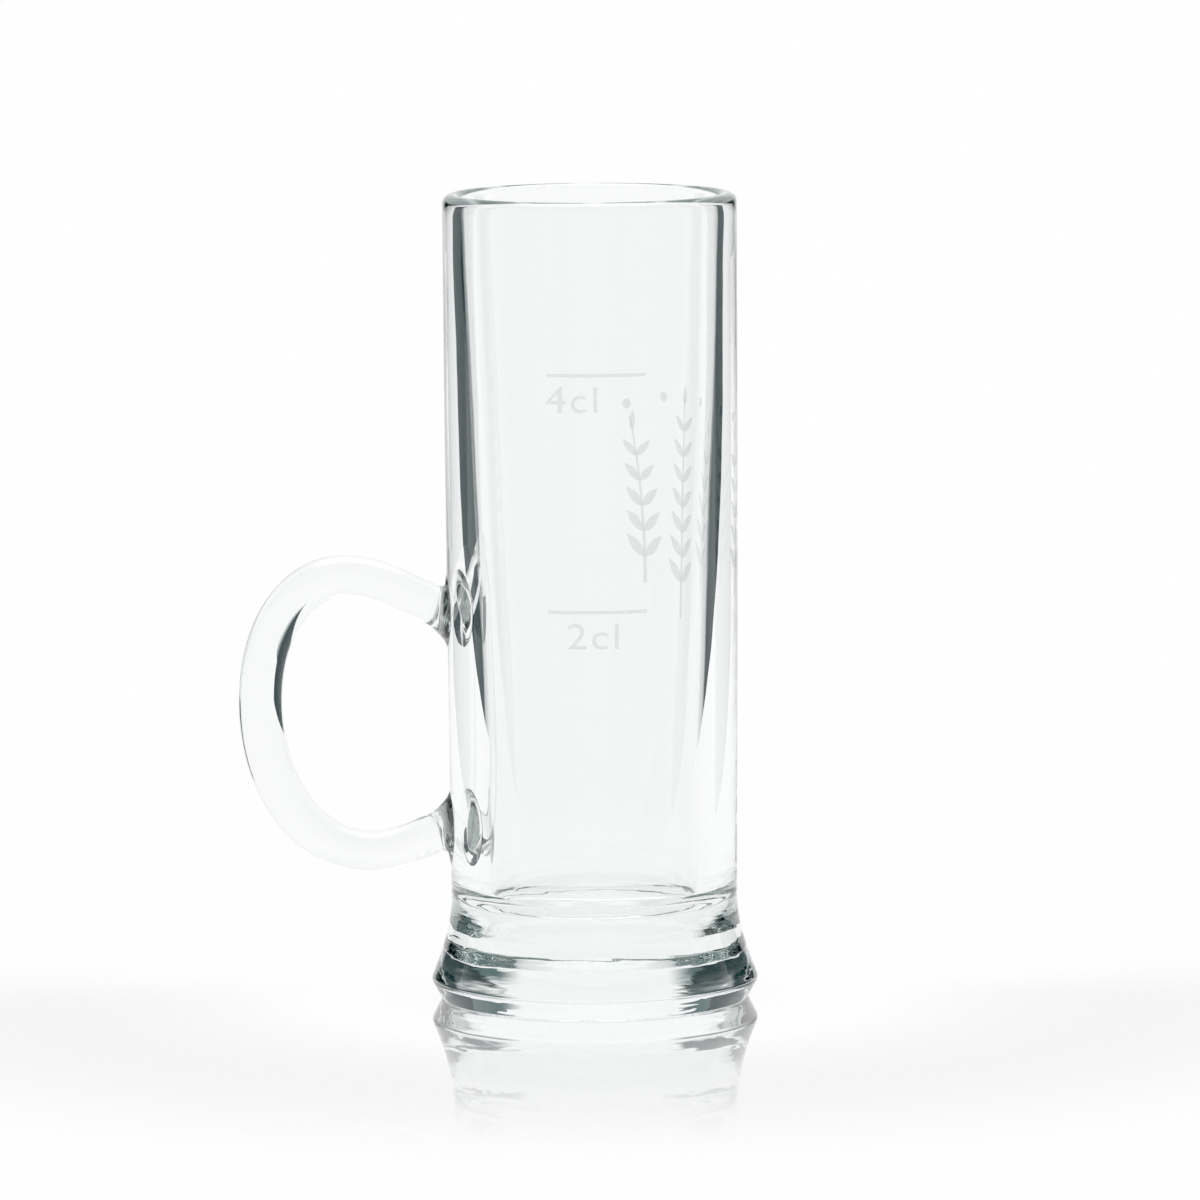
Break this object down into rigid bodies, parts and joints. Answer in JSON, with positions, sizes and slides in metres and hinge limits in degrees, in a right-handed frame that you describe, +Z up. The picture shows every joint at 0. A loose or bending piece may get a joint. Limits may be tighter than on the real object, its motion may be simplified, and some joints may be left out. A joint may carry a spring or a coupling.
{
  "type": "handled shot glass",
  "caption": "Slim clear glass tumbler with a thick flared foot, a tapering bore, a welded rod handle on one side and printed fill lines, for measured spirits.",
  "frame": {"origin": "centre of the foot's flat resting face, on the barrel's axis", "axes": "+Z up along the barrel's axis, -X towards the handle, -Y towards the printed fill lines"},
  "size_m": [0.063, 0.0398, 0.0985],
  "materials": {
    "body_glass": "clear fire-polished soda-lime glass",
    "handle_glass": "clear drawn soda-lime glass rod",
    "fill_enamel": "satin pale fired enamel print"
  },
  "bodies": {
    "root": {"glass_body": "body_glass", "handle": "handle_glass", "upper_fill_line": "fill_enamel", "lower_fill_line": "fill_enamel"}
  },
  "joints": []
}
